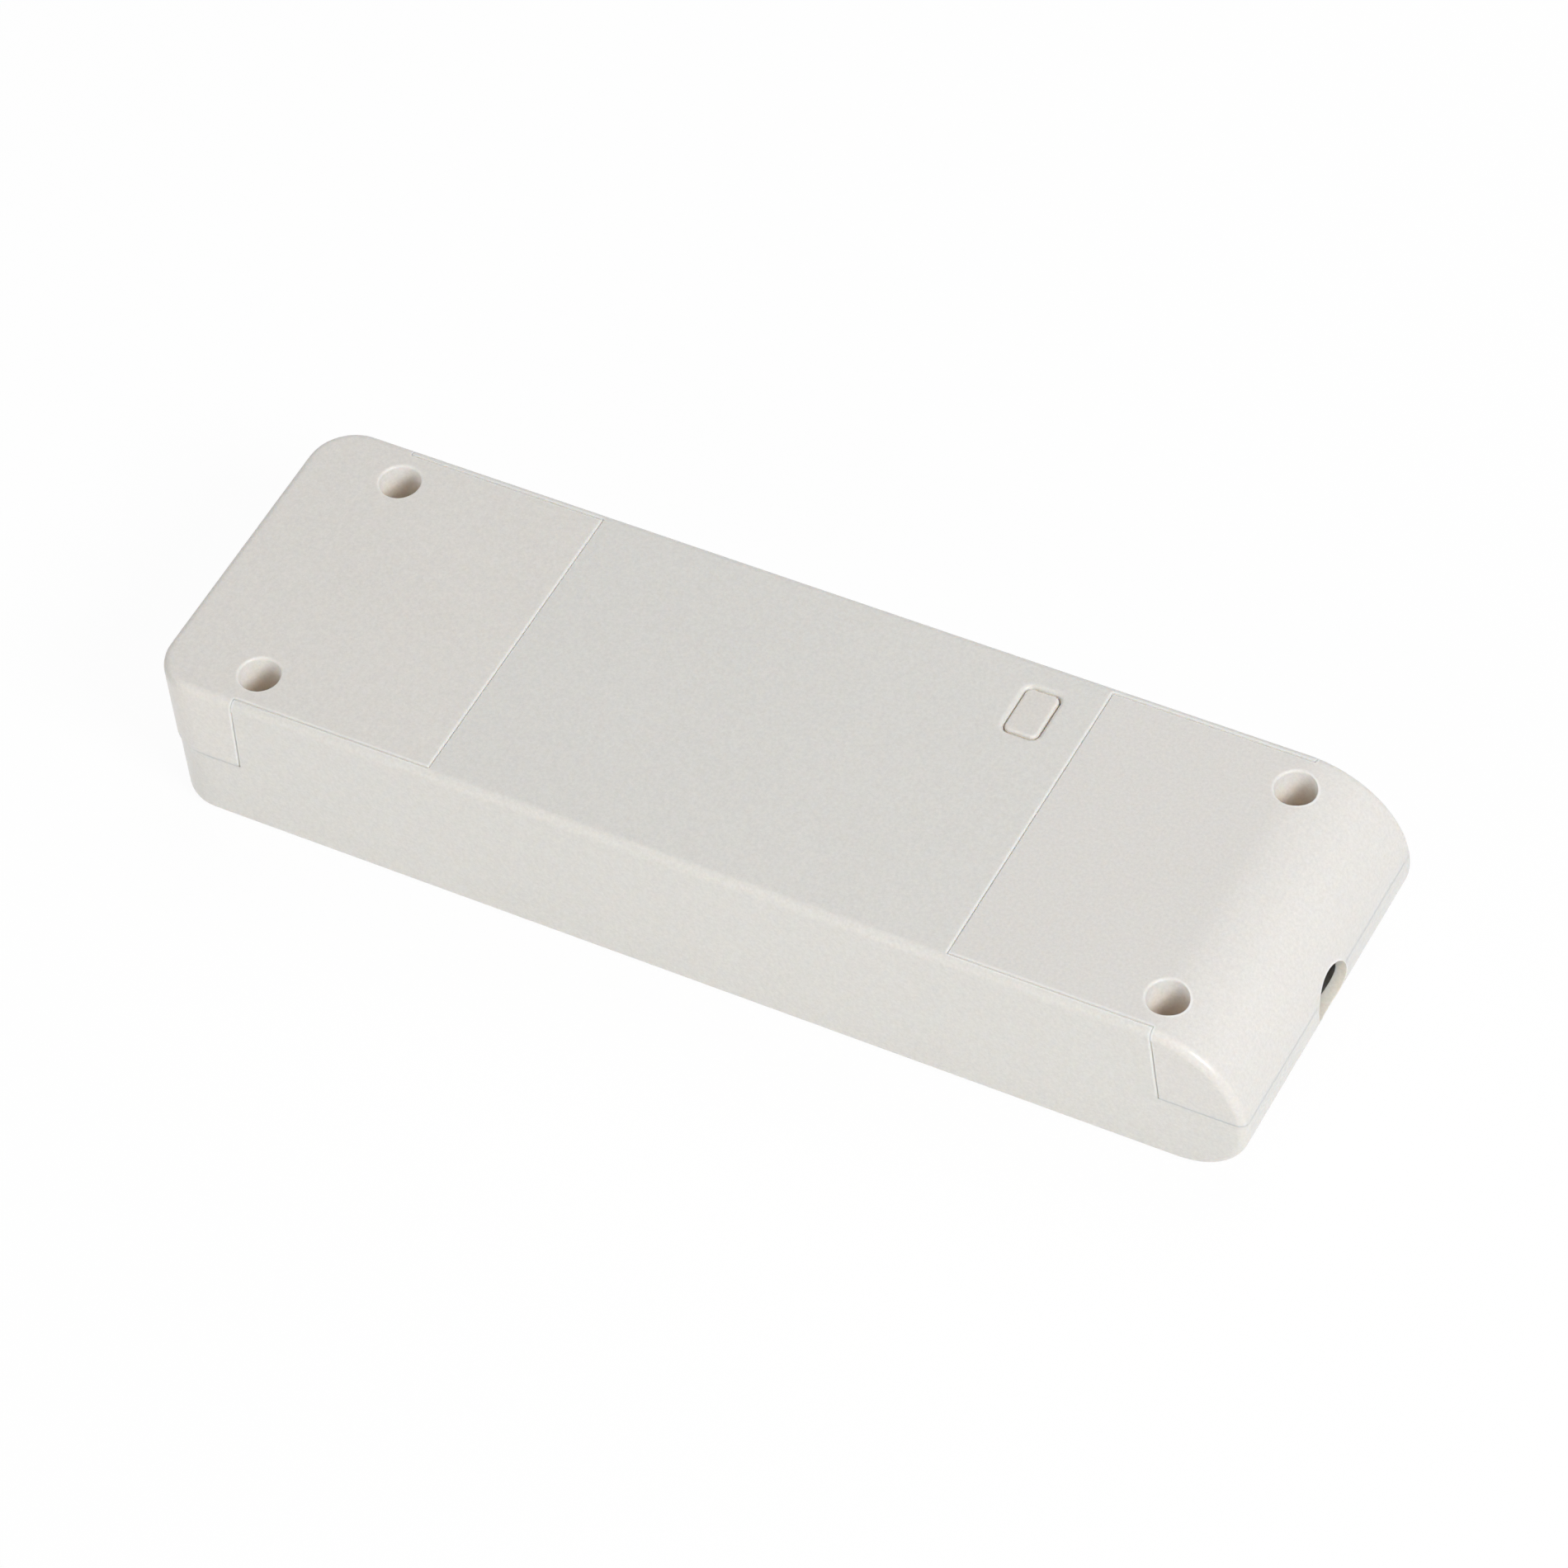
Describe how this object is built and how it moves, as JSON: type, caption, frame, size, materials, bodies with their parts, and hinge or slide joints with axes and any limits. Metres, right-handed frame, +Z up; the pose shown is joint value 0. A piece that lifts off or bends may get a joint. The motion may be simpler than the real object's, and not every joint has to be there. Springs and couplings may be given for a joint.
{
  "type": "led driver",
  "caption": "Long plastic LED driver box with a square and a rounded end, end covers with deep screw holes, a cord inlet at each end and a small push button in the roof.",
  "frame": {"origin": "middle of the bounding box, on the base's underside", "axes": "+X along the body toward the rounded output end, +Y across it toward the push button's side, +Z up"},
  "size_m": [0.193, 0.06, 0.0295],
  "materials": {
    "shell_plastic": "fine moulded grain",
    "cover_plastic": "fine moulded grain",
    "button_plastic": "fine moulded grain",
    "base_plastic": "moulded",
    "clamp_plastic": "moulded",
    "steel": "zinc plated",
    "board": "solder mask",
    "terminal_grey": "moulded",
    "terminal_green": "moulded",
    "ceramic": "glazed tube with metal caps",
    "blue_coat": "dipped epoxy",
    "green_coat": "dipped epoxy",
    "yellow_box": "moulded box",
    "black_epoxy": "moulded epoxy",
    "ferrite": "sintered",
    "copper": "enamelled wire",
    "sleeve": "shrink sleeve",
    "aluminium": "extruded",
    "tape": "insulation tape",
    "tin_can": "tin plated"
  },
  "bodies": {
    "driver": {"housing_shell": "shell_plastic", "base_plate": "base_plastic", "input_cover": "cover_plastic", "output_cover": "cover_plastic", "base_screws": "steel", "input_clamp": "clamp_plastic", "output_clamp": "clamp_plastic", "clamp_screws": "steel", "circuit_board": "board", "board_screws": "steel", "input_terminal": "terminal_grey", "input_terminal_screws": "steel", "output_terminal": "terminal_green", "output_terminal_screws": "steel", "fuse": "ceramic", "varistor": "blue_coat", "thermistor": "green_coat", "x_capacitor": "yellow_box", "bridge_rectifier": "black_epoxy", "choke_core": "ferrite", "choke_winding": "copper", "control_chip": "black_epoxy", "bulk_capacitor": "sleeve", "switch_transistor": "black_epoxy", "switch_heatsink": "aluminium", "transformer_core": "ferrite", "transformer_winding": "tape", "optocoupler": "black_epoxy", "y_capacitor": "blue_coat", "output_diode": "black_epoxy", "output_heatsink": "aluminium", "output_capacitors": "sleeve", "dimming_transistors": "black_epoxy", "radio_board": "board", "radio_shield": "tin_can", "tact_switch": "terminal_grey"},
    "button": {"push_button": "button_plastic", "switch_plunger": "black_epoxy"}
  },
  "joints": [
    {"name": "button_press", "type": "slide", "parent": "driver", "child": "button", "axis": [0, 0, -1], "range_m": [0, 0.0004], "stiffness_N_per_m": 5000}
  ]
}
